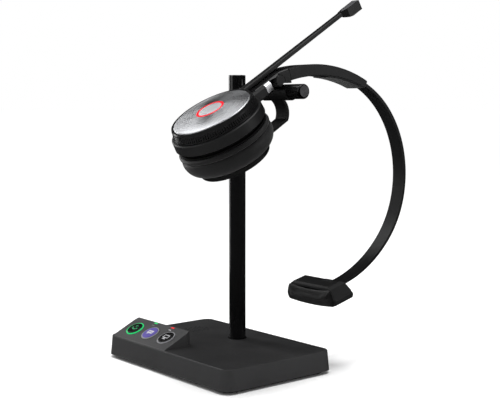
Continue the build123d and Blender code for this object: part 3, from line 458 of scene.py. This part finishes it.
def cad_materials():
    """One material for each kind of surface, given to the CAD nodes that have it."""
    cap_centre = tuple(CUP_MIDDLE)
    peg_centre = tuple(middle_of("peg_end_cap"))
    case = moulded("case_plastic", 0.040, 0.50, relief=0.00004, edge_light=0.4, specular=0.45)
    panel = moulded("panel_plastic", 0.058, 0.46, relief=0.00003, edge_light=0.4, specular=0.45)
    body = moulded("headset_plastic", 0.014, 0.40)
    # near-black with little gloss, darker than the headset plastic, as painted shade in the neck
    # groove behind the baffle plate; the pole collar shares it
    black_and_shade = moulded("black_and_shade_plastic", 0.004, 0.55, edge_light=0.1, specular=0.12)
    bracket = moulded("bracket_plastic", 0.007, 0.44, specular=0.2)
    ring = moulded("ring_plastic", 0.011, 0.3, edge_light=0.9, soft_edge=0.00025)
    boom = moulded("boom_plastic", 0.012, 0.36, edge_light=0.6)
    mic = glossy("mic_plastic", 0.006, 0.25, specular=0.35)
    band = moulded("band_plastic", 0.017, 0.44)
    strap = moulded("strap_plastic", 0.009, 0.36)
    temple = moulded("temple_plastic", 0.014, 0.42, edge_light=0.6)
    pole = glossy("pole_black", 0.006, 0.14)
    peg = glossy("peg_dark", 0.004, 0.2, specular=0.35)
    gloss = glossy("cover_gloss", 0.014, 0.14, coat=0.5)
    silver = turned_metal("cap_silver", (0.66, 0.67, 0.69), cap_centre, tuple(CUP_OUT), 0.3, 0.8)
    key = turned_metal("key_silver", (0.78, 0.79, 0.81), cap_centre, tuple(CUP_OUT), 0.5, 0.2)
    spun = turned_metal("peg_cap", (0.07, 0.07, 0.073), peg_centre, tuple(RIGHT), 0.26, 0.8)
    slider = brushed_metal("slider_metal", (0.72, 0.72, 0.74), CUP_ALONG, 0.24)
    steel = brushed_metal("plain_steel", (0.55, 0.56, 0.58), RIGHT, 0.32)
    rail = brushed_metal("rail_steel", (0.05, 0.05, 0.055), CUP_ALONG, 0.3)
    board = circuit_board("board_green")
    black_key = glossy("key_black", 0.008, 0.2)
    table = {
        case: ["base_top_shell", "base_bottom_plate"],
        panel: ["control_panel"],
        rubber("mat_rubber"): ["base_mat"],
        steel: ["base_screws", "ballast_plate", "pole_screw", "cup_screws", "temple_pin"],
        board: ["main_board", "control_board", "cup_board"],
        brushed_metal("socket_metal", (0.6, 0.6, 0.62), RIGHT, 0.3): ["usb_sockets"],
        cast("speaker_black", (0.02, 0.02, 0.02), 0.7, 0.0): [
            "desk_speaker", "speaker_driver", "mic_capsule",
        ],
        pole: ["pole"],
        black_and_shade: ["pole_collar", "baffle_plate"],
        peg: ["peg"],
        spun: ["peg_end_cap"],
        bracket: ["peg_saddle", "charging_bracket", "cradle_disc"],
        cast("magnet", (0.25, 0.25, 0.26), 0.5, 1.0): ["cradle_magnet"],
        cast("contact_gold", (0.83, 0.6, 0.25), 0.25, 1.0, 0.0003, 0.000004): ["contact_pins"],
        silver: ["cup_cap"],
        key: ["cup_key"],
        glowing("light_red", (0.86, 0.012, 0.025), 0.85): ["cup_light_ring"],
        body: ["cup_housing", "yoke_block"],
        painted("battery_wrap", (0.06, 0.1, 0.28), 0.3): ["battery"],
        woven("screen_cloth", 0.02): ["driver_screen"],
        ring: ["boom_ring"],
        boom: ["boom_arm"],
        mic: ["mic_head"],
        cast("mic_mesh", (0.2, 0.2, 0.21), 0.5, 0.6, 0.0003, 0.00002): ["mic_grille"],
        slider: ["metal_slider"],
        rail: ["slider_rail", "swivel_pin"],
        band: ["band_sleeve", "arm_barrel", "arm_housing"],
        gloss: ["arm_cover", "block_cover"],
        strap: ["strap"],
        temple: ["temple_shell"],
        black_key: ["button_cap_left", "button_cap_right"],
        painted("key_purple", KEY_PURPLE, 0.4): ["button_cap_middle"],
        glowing("ring_green", (0.02, 0.62, 0.17), 0.75): ["button_ring_left"],
        painted("ring_grey", (0.36, 0.36, 0.38), 0.4): [
            "button_ring_middle", "button_ring_right",
        ],
        glowing("led_green", (0.02, 0.68, 0.16), 0.9): ["call_led"],
        glowing("led_red", (0.8, 0.03, 0.03), 0.9): ["alert_led"],
    }
    for material, names in table.items():
        for name in names:
            finish_node(name, material)


# ---------------------------------------------------------------- soft pieces
def puffed(piece, stitched, reach, pressure=4.0, frames=20):
    """Swells a closed piece between its stitched lines by a short cloth run, then smooths it.
    """
    scene = bpy.context.scene
    rest = [vertex.co.copy() for vertex in piece.data.vertices]
    group = piece.vertex_groups.new(name="stitched")
    group.add(stitched, 1.0, "REPLACE")
    cloth = piece.modifiers.new("cloth", "CLOTH")
    cloth.settings.quality = 5
    cloth.settings.mass = 0.2
    cloth.settings.tension_stiffness = 20
    cloth.settings.compression_stiffness = 20
    cloth.settings.bending_stiffness = 2
    cloth.settings.vertex_group_mass = group.name
    cloth.settings.use_pressure = True
    cloth.settings.uniform_pressure_force = pressure
    cloth.settings.effector_weights.gravity = 0
    for number in range(1, frames + 1):
        scene.frame_set(number)
    solved = piece.evaluated_get(bpy.context.evaluated_depsgraph_get())
    swollen = [vertex.co.copy() for vertex in solved.data.vertices]
    piece.modifiers.remove(cloth)
    scene.frame_set(1)
    for vertex, start, end in zip(piece.data.vertices, rest, swollen):
        step = end - start
        if step.length > reach:
            step = step.normalized() * reach
        vertex.co = start + step
    piece.modifiers.new("smooth", "SUBSURF").render_levels = 2


def declare_pad(piece, body, node):
    """Attaches a soft piece to the body it rides on and hides the CAD node it stands for."""
    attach(piece, body)
    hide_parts(node)


# ear cushion, in millimetres: radii, and heights along the cup's axis, negative towards the head
CUSHION_HELD = -16.9  # above this the leather lies against the flange
CUSHION_SEAM = -19.5  # sewn crease between the bead and the body
SEAM_HALF = 0.3
CUSHION_HOLE = 13.0  # within this radius the leather is held, round the hole
CUSHION_FLAT = 20.0  # within this radius there are no waves
SEAM_WAVE, SEAM_WAVE_AT, SEAM_WAVE_REACH = 0.12, -20.6, 1.3
BODY_WAVE, BODY_WAVE_AT, BODY_WAVE_REACH = 0.07, -25.5, 4.5


def ear_cushion():
    """Padded ring: a bead under the flange, a stitched crease, then a full rounded body."""
    outline = [
        (12.5, -16.3), (20.0, -16.3), (27.4, -16.32), (28.4, -16.6), (28.95, -17.4),
        (29.0, -18.3), (28.6, -19.05), (27.6, -19.5), (28.3, -19.95), (28.85, -21.2),
        (29.0, -23.0), (28.6, -25.3), (27.6, -27.6), (26.0, -29.5), (24.0, -30.75),
        (21.4, -31.3), (18.5, -31.4), (16.4, -31.1), (14.5, -30.3), (13.2, -28.9),
        (12.6, -26.5), (12.5, -22.0),
    ]
    profile = [(r * MM, z * MM) for r, z in smooth_line(outline, 2)]
    leather = leatherette("leatherette", 0.012)
    piece = lathe("ear_cushion_leather", profile, CUP, leather, segments=120)
    back = CUP.inverted()
    heights = [(back @ vertex.co).z / MM for vertex in piece.data.vertices]
    widths = [(back @ vertex.co).xy.length / MM for vertex in piece.data.vertices]
    stitched = [
        i for i, (r, z) in enumerate(zip(widths, heights))
        if z > CUSHION_HELD or abs(z - CUSHION_SEAM) < SEAM_HALF or r < CUSHION_HOLE
    ]
    puffed(piece, stitched, 0.0004)
    rng = random.Random(7)
    waves = [(rng.randint(5, 22), rng.uniform(0, 6.28), rng.uniform(0.4, 1.0)) for _ in range(12)]
    for vertex, z in zip(piece.data.vertices, heights):
        p = back @ vertex.co
        angle = math.atan2(p.y, p.x)
        if p.xy.length < CUSHION_FLAT * MM or z > CUSHION_HELD:
            continue
        ripple = sum(h * math.sin(n * angle + f) for n, f, h in waves) / 5
        near_seam = math.exp(-((z - SEAM_WAVE_AT) / SEAM_WAVE_REACH) ** 2)
        middle = math.exp(-((z - BODY_WAVE_AT) / BODY_WAVE_REACH) ** 2)
        push = (SEAM_WAVE * near_seam + BODY_WAVE * middle) * ripple * MM
        p.x += push * math.cos(angle)
        p.y += push * math.sin(angle)
        vertex.co = CUP @ p
    declare_pad(piece, "ear_cup", "ear_cushion")


TEMPLE_TILT = math.radians(15.0)
TEMPLE_ORIGIN = Vector((0.041, 0.0436, 0.0400))  # as in the CAD
TEMPLE = axes_matrix(
    TEMPLE_ORIGIN,
    RIGHT,
    Vector((0, math.cos(TEMPLE_TILT), math.sin(TEMPLE_TILT))),
    Vector((0, -math.sin(TEMPLE_TILT), math.cos(TEMPLE_TILT))),
)


# temple cushion, in millimetres of the TEMPLE frame
PAD_WIDE = 22.0  # half its width
PAD_MIDDLE, PAD_TALL = 4.3, 5.6  # height of its middle, and about half its height
LEAN_FROM, LEAN, LEAN_DEPTH = 2.0, 0.15, 3.0  # above LEAN_FROM its front leans to the shell


def temple_cushion():
    """Soft slab, crowned towards the head, with a rounded rim and a line sewn round its back."""
    half = [
        (0, 9.3), (PAD_WIDE * 0.45, 9.7), (PAD_WIDE - 4.2, 10.7), (PAD_WIDE - 2.4, 9.9),
        (PAD_WIDE - 0.5, 5.4), (PAD_WIDE - 0.4, 3.0), (PAD_WIDE - 1.4, 0.5),
        (PAD_WIDE - 2.8, -0.1), (PAD_WIDE * 0.45, -0.95), (0, -1.2),
    ]
    line = smooth_line(half + [(-x, w) for x, w in reversed(half) if x], 4)
    # how far each ring is drawn in, and how far it lies behind the front
    rings = [
        (0.5, 2.95), (0.0, 2.8), (0.35, 2.35), (0.0, 1.9), (0.15, 1.2), (0.6, 0.65), (1.4, 0.3),
        (2.6, 0.14), (4.0, 0.06), (5.4, 0.02),
    ]
    bm = bmesh.new()
    rows = []
    for inset, depth in rings:
        row = []
        for x, w in line:
            x = x * (1 - inset / PAD_WIDE)
            w = PAD_MIDDLE + (w - PAD_MIDDLE) * (1 - inset / PAD_TALL)
            lean = max(0.0, (w - LEAN_FROM) * LEAN) * (1 - depth / LEAN_DEPTH)
            row.append(bm.verts.new(TEMPLE @ (Vector((x, depth + lean, w)) * MM)))
        rows.append(row)
    for near, far in zip(rows, rows[1:]):
        skin(bm, near, far)
    bm.faces.new(rows[0])
    bm.faces.new(rows[-1])
    leather = leatherette("temple_leather", 0.006, 0.42, 0.0007, 0.00003)
    piece = new_piece("temple_cushion_pad", bm, leather)
    back_rings = range(3 * len(line))
    puffed(piece, list(back_rings), 0.0003)
    declare_pad(piece, "temple_pad", "temple_cushion")


LINING_START, LINING_END = 3.05, 21.15  # degrees round that curve, from straight up
LINING_RADIUS = 100.99  # just inside the sleeve's underside, in millimetres
LINING_STEPS = 60
UNDERSIDE_SHIFT = Vector((0, 0.003, -0.0073))  # from the band's centre to its underside's


def band_lining():
    """Thin padded strip under the sleeve, with a rounded rim and two sewn lines along it."""
    middle = BAND_MIDDLE + UNDERSIDE_SHIFT
    section = [
        (-7.1, 0.0), (-7.15, 0.35), (-6.9, 0.68), (-6.3, 0.76), (-5.7, 0.62), (-4.8, 0.76),
        (-2.4, 0.79), (0.0, 0.8), (2.4, 0.79), (4.8, 0.76), (5.7, 0.62), (6.3, 0.76),
        (6.9, 0.68), (7.15, 0.35), (7.1, 0.0), (0.0, 0.0),
    ]
    bm = bmesh.new()
    rows = []
    for k in range(LINING_STEPS + 1):
        turned = (LINING_END - LINING_START) * k / LINING_STEPS
        angle = math.radians(LINING_START + turned)
        out = Vector((0, math.sin(angle), math.cos(angle)))
        thin = 0.55 if k in (0, LINING_STEPS) else 1.0
        rows.append([
            bm.verts.new(middle + RIGHT * x * MM + out * (LINING_RADIUS - depth * thin) * MM)
            for x, depth in section
        ])
    for near, far in zip(rows, rows[1:]):
        skin(bm, near, far)
    bm.faces.new(rows[0])
    bm.faces.new(rows[-1])
    lining = leatherette("pad_lining", 0.012, 0.5, 0.0007, 0.00003)
    piece = new_piece("band_lining", bm, lining)
    declare_pad(piece, "band", "band_pad")


# ---------------------------------------------------------------- marks on the keys and the panel
PRINT = 0.00006  # how far a printed mark stands off its piece, in metres
FACE_DEPTH = 0.00003  # what counts as the outer face
TICK_SHIFT = -2.6  # from a light to the small bar below it, in millimetres


def top_frame(node):
    """Frame in the middle of a key's or light's outer face, with X to the right."""
    points = [NODES[node].matrix_world @ vertex.co for vertex in NODES[node].data.vertices]
    up = KEY_OUT.cross(RIGHT)
    reach = max(p.dot(KEY_OUT) for p in points)
    top = [p for p in points if p.dot(KEY_OUT) > reach - FACE_DEPTH]
    spans = [[p.dot(axis) for p in top] for axis in (RIGHT, up)]
    across, along = [(min(span) + max(span)) / 2 for span in spans]
    return axes_matrix(RIGHT * across + up * along + KEY_OUT * reach, RIGHT, up, KEY_OUT)


def mark(name, node, body, outlines, colour, shift=0.0, thick=PRINT):
    """Printed mark: flat shapes in millimetres on a piece's outer face."""
    shapes = [[(x * MM, (y + shift) * MM) for x, y in line] for line in outlines]
    piece = plate(name, shapes, top_frame(node), thick, painted(name, colour, 0.5))
    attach(piece, body)


def marks():
    """Generic signs: a handset, a speech bubble with three dots, and a screen on a foot."""
    green = (0.02, 0.42, 0.14)
    white = (0.75, 0.75, 0.78)
    arc = ribbon_points(circle_points(0, 0.9, 2.1, 14, 205, 130), 0.42)
    ends = [box_points(-2.75, -0.6, -1.35, 0.5), box_points(1.35, -0.6, 2.75, 0.5)]
    waves = [ribbon_points(circle_points(0, 0.2, r, 10, 55, 70), 0.22) for r in (1.5, 2.4)]
    mark("handset_sign", "button_cap_left", "button_left", [arc] + ends + waves, green)
    bubble = [
        (-2.6, -0.9), (-1.4, -0.9), (-1.9, -2.2), (-0.2, -0.9), (2.6, -0.9), (2.6, 2.0),
        (-2.6, 2.0),
    ]
    mark("bubble_sign", "button_cap_middle", "button_middle", [bubble], white)
    dots = [circle_points(x, 0.55, 0.42, 12) for x in (-1.4, 0, 1.4)]
    mark("bubble_dots", "button_cap_middle", "button_middle", dots, KEY_PURPLE, thick=2 * PRINT)
    screen = [
        box_points(-2.6, -0.9, -2.1, 2.1), box_points(2.1, -0.9, 2.6, 2.1),
        box_points(-2.1, 1.6, 2.1, 2.1), box_points(-2.1, -0.9, 2.1, -0.4),
        box_points(-0.4, -1.7, 0.4, -0.9), box_points(-1.5, -2.2, 1.5, -1.7),
    ]
    mark("screen_sign", "button_cap_right", "button_right", screen, white)
    bar = [box_points(-1.3, -0.32, 1.3, 0.32)]
    mark("call_tick", "call_led", "stand", bar, (0.22, 0.22, 0.23), shift=TICK_SHIFT)
    mark("alert_tick", "alert_led", "stand", bar, white, shift=TICK_SHIFT)


def main():
    cad_materials()
    ear_cushion()
    temple_cushion()
    band_lining()
    marks()


main()


# ---------------------------------------------------------------- stage, light and camera
AIM = (0.01, 0.02, 0.12)  # near the middle of the object
SOFTBOXES = [  # name, place, size, watts
    ("disc_softbox", (-0.63, -0.136, 1.03), (0.3, 0.3), 0.9),
    ("top_softbox", (0.1, 0.05, 1.1), (0.6, 0.6), 3.6),
    ("left_softbox", (-0.55, -0.95, 0.5), (0.5, 0.8), 1.6),
    ("rear_strip", (-0.8, -0.12, 0.35), (0.22, 0.9), 2.2),
    ("right_softbox", (0.95, 0.75, 0.35), (0.4, 0.5), 0.9),
]
DISC_FAN = ("disc_fan", (-0.95, 0.62, 0.42), (0.3, 0.3), 0.3)
WORLD_AS_LIGHT, WORLD_SEEN = 0.45, 1.0
FLOOR_DROP = 0.0003  # under the mat, so that the two don't share a plane
FLOOR_HALF = 60.0
CAMERA_PLACE = (0.5179, -0.3997, 0.1645)
CAMERA_DOWN, CAMERA_TURN = 5.07, 50.44  # degrees
CAMERA_LENS, CAMERA_SENSOR = 73.93, 36.0  # millimetres


def area(name, place, size, power):
    """Rectangular light that points at the object."""
    data = bpy.data.lights.new(name, "AREA")
    data.shape = "RECTANGLE"
    data.size, data.size_y = size
    data.energy = power
    light = bpy.data.objects.new(name, data)
    bpy.context.scene.collection.objects.link(light)
    light.location = place
    light.rotation_euler = (Vector(AIM) - Vector(place)).to_track_quat("-Z", "Y").to_euler()
    return light


def world_light():
    """White backdrop, dimmer as a light than as it looks, and left out of reflections."""
    world = bpy.data.worlds.new("studio")
    bpy.context.scene.world = world
    world.use_nodes = True
    world.cycles_visibility.glossy = False
    tree = world.node_tree
    background = tree.nodes["Background"]
    seen = tree.nodes.new("ShaderNodeLightPath")
    level = tree.nodes.new("ShaderNodeMapRange")
    level.inputs["To Min"].default_value = WORLD_AS_LIGHT
    level.inputs["To Max"].default_value = WORLD_SEEN
    tree.links.new(seen.outputs["Is Camera Ray"], level.inputs["Value"])
    tree.links.new(level.outputs["Result"], background.inputs["Strength"])
    background.inputs["Color"].default_value = (1, 1, 1, 1)


def pale_floor():
    """Pale matt floor with a light of its own, so that it stays even and its shadows soft."""
    bm = bmesh.new()
    bmesh.ops.create_grid(bm, x_segments=2, y_segments=2, size=FLOOR_HALF)
    for v in bm.verts:
        v.co.z = -FLOOR_DROP
    look = bpy.data.materials.new("pale_floor")
    look.use_nodes = True
    bsdf = look.node_tree.nodes["Principled BSDF"]
    bsdf.inputs["Base Color"].default_value = (0.95, 0.95, 0.95, 1)
    bsdf.inputs["Roughness"].default_value = 0.9
    bsdf.inputs["Specular IOR Level"].default_value = 0.0
    floor = new_piece("floor", bm, look, smooth=False)
    floor.visible_glossy = False
    lit = bpy.data.collections.new("lit_by_floor_light")
    lit.objects.link(floor)
    data = bpy.data.lights.new("floor_light", "SUN")
    data.energy = 1.95
    data.angle = 0.6
    light = bpy.data.objects.new("floor_light", data)
    bpy.context.scene.collection.objects.link(light)
    light.light_linking.receiver_collection = lit
    light.light_linking.blocker_collection = bpy.data.collections.new("no_blockers")


def studio():
    """Softboxes round the object, and one light for the silver disc and its key only."""
    world_light()
    pale_floor()
    for light in SOFTBOXES:
        area(*light)
    fan = area(*DISC_FAN)
    fanned = bpy.data.collections.new("lit_by_disc_fan")
    for name in ("cup_cap", "cup_key"):
        fanned.objects.link(NODES[name])
    fan.light_linking.receiver_collection = fanned


def camera():
    """The photograph's own view."""
    data = bpy.data.cameras.new("camera")
    data.lens = CAMERA_LENS
    data.sensor_width = CAMERA_SENSOR
    data.clip_start = 0.01
    data.clip_end = 100
    made = bpy.data.objects.new("camera", data)
    bpy.context.scene.collection.objects.link(made)
    made.location = CAMERA_PLACE
    made.rotation_euler = (math.radians(90 - CAMERA_DOWN), 0, math.radians(CAMERA_TURN))
    bpy.context.scene.camera = made
    bpy.context.scene.view_settings.view_transform = "Standard"


studio()
camera()
